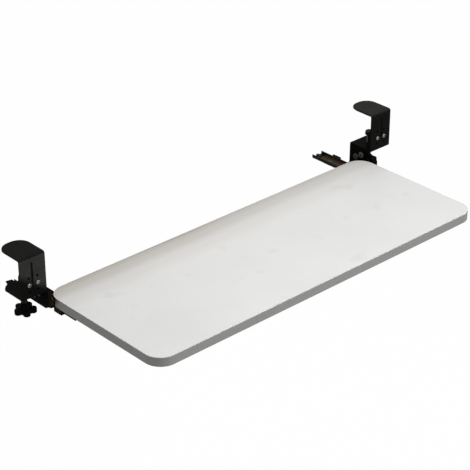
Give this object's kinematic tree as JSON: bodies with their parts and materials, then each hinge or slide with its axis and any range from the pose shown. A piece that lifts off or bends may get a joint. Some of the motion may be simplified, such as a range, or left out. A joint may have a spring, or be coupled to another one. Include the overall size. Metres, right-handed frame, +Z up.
{
  "type": "keyboard tray under desk",
  "caption": "Clamp-on keyboard tray: a white board with rounded corners slides under the desk on ball slides hung from black steel C-clamps with star knobs.",
  "frame": {"origin": "middle of the desk's top front edge, where the desk's top face meets the back faces of the two hooks; the part hangs from it", "axes": "+X along the board from the user's left to right, +Y back under the desk in the direction the board slides in, +Z up, out of the board's top face"},
  "size_m": [0.757, 0.334, 0.1067],
  "materials": {
    "board": "satin pale grey-white laminate",
    "edge": "matte grey edge strip",
    "hook_steel": "satin charcoal powder coat",
    "jaw_steel": "satin black powder coat",
    "slide_steel": "thin black electrocoat",
    "screw_steel": "blackened steel",
    "knob_plastic": "matte black",
    "bright_steel": "bright zinc",
    "grey_steel": "dull zinc",
    "cage_steel": "plain",
    "ball_steel": "polished",
    "pad_rubber": "matte"
  },
  "bodies": {
    "clamps": {"upper_hook_left": "hook_steel", "hook_pad_left": "pad_rubber", "hook_bolts_left": "bright_steel", "hook_nuts_left": "bright_steel", "jaw_bracket_left": "jaw_steel", "thread_nut_left": "bright_steel", "rail_hanger_left": "jaw_steel", "hanger_bolts_left": "grey_steel", "hanger_nuts_left": "screw_steel", "slide_outer_left": "slide_steel", "cage_stop_left": "pad_rubber", "rail_screws_left": "grey_steel", "rail_nuts_left": "bright_steel", "upper_hook_right": "hook_steel", "hook_pad_right": "pad_rubber", "hook_bolts_right": "bright_steel", "hook_nuts_right": "bright_steel", "jaw_bracket_right": "jaw_steel", "thread_nut_right": "bright_steel", "rail_hanger_right": "jaw_steel", "hanger_bolts_right": "grey_steel", "hanger_nuts_right": "screw_steel", "slide_outer_right": "slide_steel", "cage_stop_right": "pad_rubber", "rail_screws_right": "grey_steel", "rail_nuts_right": "bright_steel"},
    "tray": {"tray_board": "board", "tray_edge_band": "edge", "slide_inner_left": "slide_steel", "tray_screws_left": "bright_steel", "slide_inner_right": "slide_steel", "tray_screws_right": "bright_steel"},
    "cage_left": {"ball_cage_left": "cage_steel", "slide_balls_left": "ball_steel"},
    "pad_left": {"pressure_pad_left": "jaw_steel", "pad_facing_left": "pad_rubber"},
    "screw_left": {"clamp_screw_left": "screw_steel", "star_knob_left": "knob_plastic"},
    "cage_right": {"ball_cage_right": "cage_steel", "slide_balls_right": "ball_steel"},
    "pad_right": {"pressure_pad_right": "jaw_steel", "pad_facing_right": "pad_rubber"},
    "screw_right": {"clamp_screw_right": "screw_steel", "star_knob_right": "knob_plastic"}
  },
  "joints": [
    {"name": "tray_slide", "type": "slide", "parent": "clamps", "child": "tray", "axis": [0, 1, 0], "range_m": [0, 0.17]},
    {"name": "cage_slide_left", "type": "slide", "parent": "clamps", "child": "cage_left", "axis": [0, 1, 0], "range_m": [0, 0.085]},
    {"name": "cage_slide_right", "type": "slide", "parent": "clamps", "child": "cage_right", "axis": [0, 1, 0], "range_m": [0, 0.085]},
    {"name": "pad_lift_left", "type": "slide", "parent": "clamps", "child": "pad_left", "axis": [0, 0, 1], "range_m": [-0.013, 0.014]},
    {"name": "knob_turn_left", "type": "hinge", "parent": "pad_left", "child": "screw_left", "pos_m": [-0.356, 0.023, -0.1], "axis": [0, 0, 1], "continuous": true},
    {"name": "pad_lift_right", "type": "slide", "parent": "clamps", "child": "pad_right", "axis": [0, 0, 1], "range_m": [-0.013, 0.014]},
    {"name": "knob_turn_right", "type": "hinge", "parent": "pad_right", "child": "screw_right", "pos_m": [0.356, 0.023, -0.1], "axis": [0, 0, 1], "continuous": true}
  ],
  "couplings": [
    {"joint": "cage_slide_left", "follows": "tray_slide", "ratio": 0.5},
    {"joint": "cage_slide_right", "follows": "tray_slide", "ratio": 0.5},
    {"joint": "knob_turn_left", "follows": "pad_lift_left", "rad_per_m": 5026.5},
    {"joint": "knob_turn_right", "follows": "pad_lift_right", "rad_per_m": 5026.5}
  ]
}
